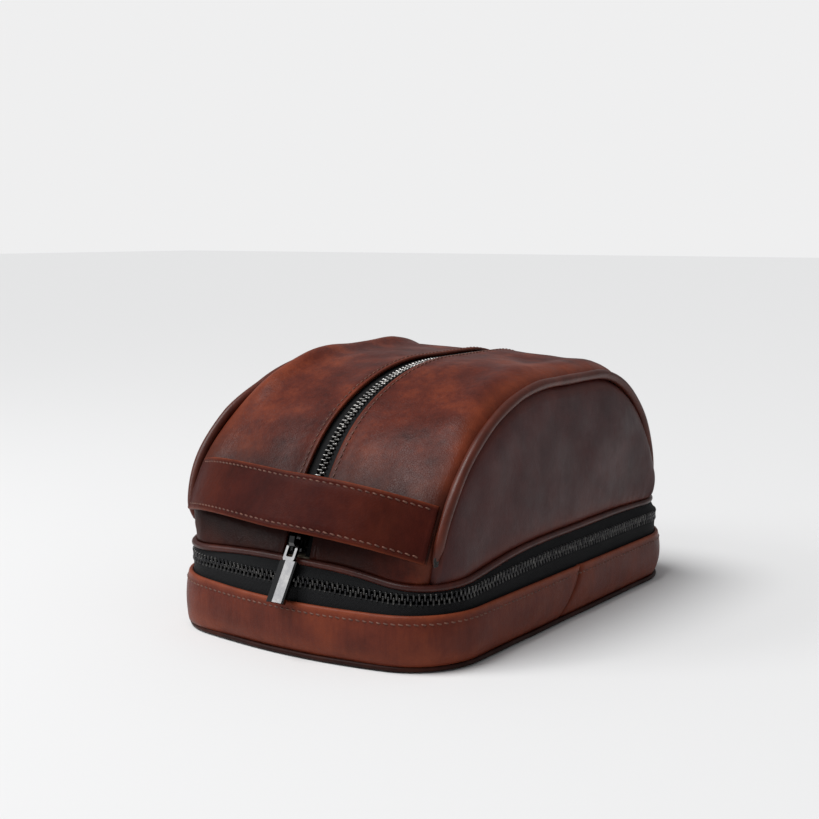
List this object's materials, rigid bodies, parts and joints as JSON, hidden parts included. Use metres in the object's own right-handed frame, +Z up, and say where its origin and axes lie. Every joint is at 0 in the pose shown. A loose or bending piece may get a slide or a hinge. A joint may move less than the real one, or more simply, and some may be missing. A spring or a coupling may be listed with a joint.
{
  "type": "shaving kit bag",
  "caption": "Leather shaving kit with a zipped tray under a domed zipped bag, hinged at the rear, with a handle strap across the front.",
  "frame": {"origin": "centre of the base panel, on its resting face", "axes": "+Z up, Y along the bag with the handle strap at -Y, X across it"},
  "size_m": [0.1716, 0.2703, 0.1337],
  "materials": {
    "leather": "pull-up leather, semi-gloss, burnished edges",
    "leather_dark": "darker pull-up leather, semi-gloss",
    "zip_tape": "woven polyester zip tape, matte",
    "zip_teeth": "black nickel teeth with bright polished tips",
    "gunmetal": "polished black nickel",
    "lining": "twill lining, matte",
    "board": "fibreboard stiffener"
  },
  "bodies": {
    "tray": {"base_panel": "leather_dark", "base_stiffener": "board", "base_piping": "leather_dark", "tray_wall_front": "leather", "tray_wall_rear": "leather", "tray_wall_stiffener": "board", "tray_lining": "lining", "lower_zip_tape_tray": "zip_tape", "lower_zip_teeth_tray": "zip_teeth", "lower_zip_stop_left": "gunmetal", "lower_zip_stop_right": "gunmetal", "rear_hinge_strip": "leather"},
    "upper": {"lower_zip_teeth_body": "zip_teeth", "lower_zip_tape_body": "zip_tape", "body_piping": "leather", "divider_panel": "lining", "divider_stiffener": "board", "gusset_left": "leather", "gusset_right": "leather", "side_panel_left": "leather", "side_panel_right": "leather", "side_piping_left": "leather", "side_piping_right": "leather", "top_zip_tape_left": "zip_tape", "top_zip_tape_right": "zip_tape", "top_zip_teeth_left": "zip_teeth", "top_zip_teeth_right": "zip_teeth", "top_zip_stop": "gunmetal", "upper_lining": "lining", "handle_strap_outer": "leather", "handle_strap_backing": "leather_dark"},
    "top_slider": {"top_slider_body": "gunmetal", "top_slider_bridge": "gunmetal"},
    "top_pull": {"top_pull_eye": "gunmetal", "top_pull_bar": "gunmetal"},
    "lower_slider": {"lower_slider_body": "gunmetal", "lower_slider_bridge": "gunmetal"},
    "lower_pull": {"lower_pull_eye": "gunmetal", "lower_pull_bar": "gunmetal"}
  },
  "joints": [
    {"name": "lid_hinge", "type": "hinge", "parent": "tray", "child": "upper", "pos_m": [0, 0.1281, 0.0365], "axis": [-1, 0, 0], "range_deg": [0, 105], "deforming": ["rear_hinge_strip"]},
    {"name": "top_slider_travel", "type": "hinge", "parent": "upper", "child": "top_slider", "pos_m": [0, -0.0042, 0.0105], "axis": [-1, 0, 0], "range_deg": [0, 66]},
    {"name": "top_pull_swing", "type": "hinge", "parent": "top_slider", "child": "top_pull", "pos_m": [0, -0.12056, 0.05383], "axis": [-1, 0, 0], "range_deg": [0, 62]},
    {"name": "lower_slider_travel", "type": "slide", "parent": "tray", "child": "lower_slider", "axis": [0, -1, 0], "range_m": [0, 0.165]},
    {"name": "lower_pull_swing", "type": "hinge", "parent": "lower_slider", "child": "lower_pull", "pos_m": [-0.08455, 0.0819, 0.0365], "axis": [0, 0, 1], "range_deg": [0, 100]}
  ]
}
